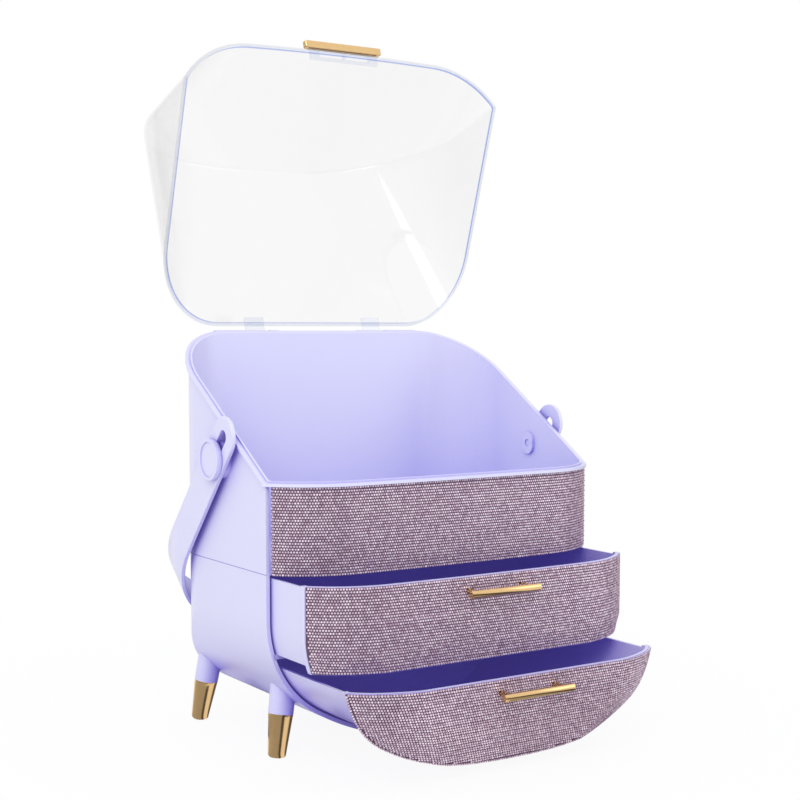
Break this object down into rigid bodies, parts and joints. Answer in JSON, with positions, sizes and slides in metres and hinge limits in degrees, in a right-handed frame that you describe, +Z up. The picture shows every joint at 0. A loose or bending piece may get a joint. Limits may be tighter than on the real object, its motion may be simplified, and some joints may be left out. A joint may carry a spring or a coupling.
{
  "type": "makeup organizer",
  "caption": "Bowl-shaped vanity box on splayed legs with bow-fronted drawers, an open bin under a hinged clear arched lid, and a swinging carry handle",
  "frame": {"origin": "centre of the bounding box's base, on the surface the organizer stands on, with the lid up and the drawers part open as in the rest pose", "axes": "+X to the right, +Y to the back, +Z up"},
  "size_m": [0.309, 0.4132, 0.5326],
  "materials": {
    "shell": "satin moulded plastic, pale lilac",
    "drawer_plastic": "satin moulded plastic, lilac",
    "rhinestone_trim": "close rows of small faceted stones, dusty mauve",
    "gold": "polished gold plating",
    "steel": "plain",
    "clear_lid": "clear moulded acrylic"
  },
  "bodies": {
    "body": {"upper_shell": "shell", "lower_shell": "shell", "drawer_shelf": "shell", "band_trim": "rhinestone_trim", "left_hinge_pin": "steel", "right_hinge_pin": "steel", "left_pivot_stud": "shell", "right_pivot_stud": "shell", "left_stud_clip": "shell", "right_stud_clip": "shell", "front_left_leg": "shell", "front_right_leg": "shell", "back_left_leg": "shell", "back_right_leg": "shell", "front_left_foot": "gold", "front_right_foot": "gold", "back_left_foot": "gold", "back_right_foot": "gold"},
    "upper_drawer": {"upper_drawer": "drawer_plastic", "upper_drawer_trim": "rhinestone_trim", "upper_drawer_pull": "gold", "upper_pull_screws": "steel"},
    "lower_drawer": {"lower_drawer": "drawer_plastic", "lower_drawer_trim": "rhinestone_trim", "lower_drawer_pull": "gold", "lower_pull_screws": "steel"},
    "lid": {"lid": "clear_lid", "lid_grip": "gold"},
    "slot_bushes": {"left_slot_bush": "shell", "right_slot_bush": "shell"},
    "handle": {"handle": "shell"}
  },
  "joints": [
    {"name": "lid_hinge", "type": "hinge", "parent": "body", "child": "lid", "pos_m": [0, 0.09239, 0.301], "axis": [1, 0, 0], "range_deg": [0, 104.8]},
    {"name": "upper_drawer_slide", "type": "slide", "parent": "body", "child": "upper_drawer", "axis": [0, -1, 0], "range_m": [-0.043, 0.06]},
    {"name": "lower_drawer_slide", "type": "slide", "parent": "body", "child": "lower_drawer", "axis": [0, -1, 0], "range_m": [-0.085, 0.025]},
    {"name": "handle_swing", "type": "hinge", "parent": "body", "child": "slot_bushes", "pos_m": [0, -0.01461, 0.212], "axis": [1, 0, 0], "range_deg": [0, 78]},
    {"name": "handle_slide", "type": "slide", "parent": "slot_bushes", "child": "handle", "axis": [0, 0.6691, -0.7431], "range_m": [0, 0.023]}
  ]
}
